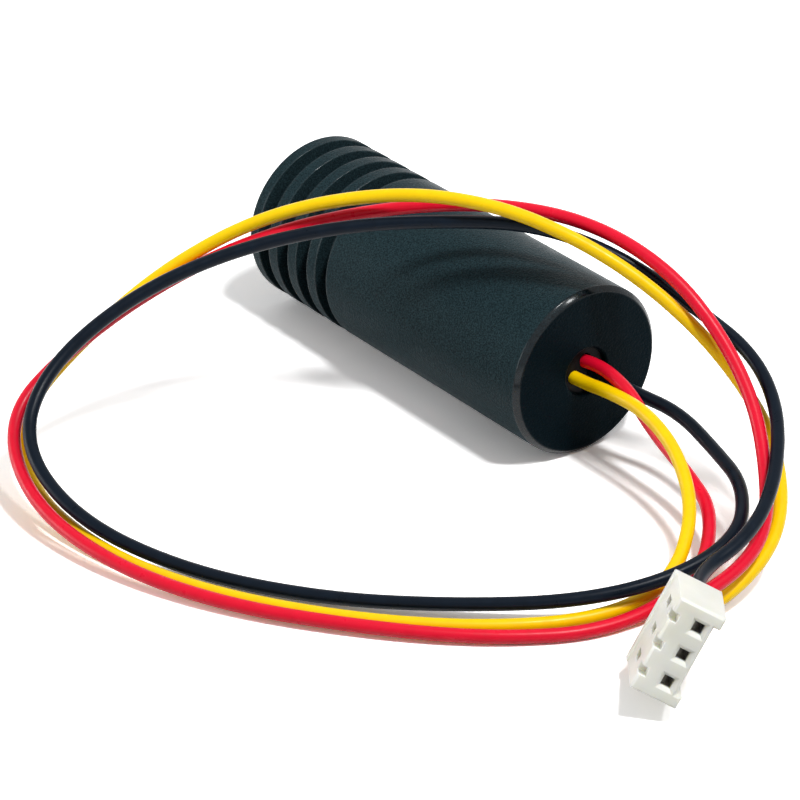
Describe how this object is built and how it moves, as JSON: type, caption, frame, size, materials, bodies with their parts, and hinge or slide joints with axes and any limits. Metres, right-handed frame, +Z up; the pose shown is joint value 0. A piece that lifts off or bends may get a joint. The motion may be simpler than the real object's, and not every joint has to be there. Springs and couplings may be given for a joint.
{
  "type": "laser diode module",
  "caption": "Round black laser diode module with cooling grooves at the lens end and coloured lead wires that loop round to a small white plug.",
  "frame": {"origin": "on the surface the module lies on, under the middle of its round housing", "axes": "+Y along the housing's axis from the lens end to the wire end, +Z up, +X to the side where the wires loop on the surface"},
  "size_m": [0.0547, 0.0788, 0.0234],
  "materials": {
    "black_anodised": "satin black anodised",
    "brass": "turned",
    "cell_brass": "turned",
    "lens_glass": "polished, coated",
    "retainer_black": "black anodised",
    "ring_rubber": "moulded",
    "gold_plate": "gold plated",
    "cap_steel": "nickel plated",
    "window_glass": "polished",
    "board_green": "solder mask over glass laminate",
    "package_black": "moulded",
    "capacitor_tan": "fired ceramic",
    "resistor_dark": "fired ceramic",
    "trimmer_white": "moulded",
    "solder": "bright solder",
    "sleeve_film": "smooth film",
    "potting_black": "cast",
    "wire_yellow": "smooth extruded cover",
    "wire_red": "smooth extruded cover",
    "wire_black": "smooth extruded cover",
    "plug_ivory": "moulded nylon",
    "terminal_tin": "tin plated"
  },
  "bodies": {
    "root": {"housing": "black_anodised", "diode_holder": "brass", "lens_cell": "cell_brass", "collimating_lens": "lens_glass", "lens_retainer": "retainer_black", "tension_ring": "ring_rubber", "diode_header": "gold_plate", "diode_cap": "cap_steel", "diode_window": "window_glass", "diode_chip_block": "gold_plate", "diode_pins": "gold_plate", "driver_board": "board_green", "driver_chip": "package_black", "transistor": "package_black", "capacitors": "capacitor_tan", "resistors": "resistor_dark", "current_trimmer": "trimmer_white", "solder_joints": "solder", "insulating_sleeve": "sleeve_film", "wire_seal": "potting_black", "wire_yellow": "wire_yellow", "wire_red": "wire_red", "wire_black": "wire_black", "plug_housing": "plug_ivory", "terminal_black": "terminal_tin", "terminal_red": "terminal_tin", "terminal_yellow": "terminal_tin"}
  },
  "joints": []
}
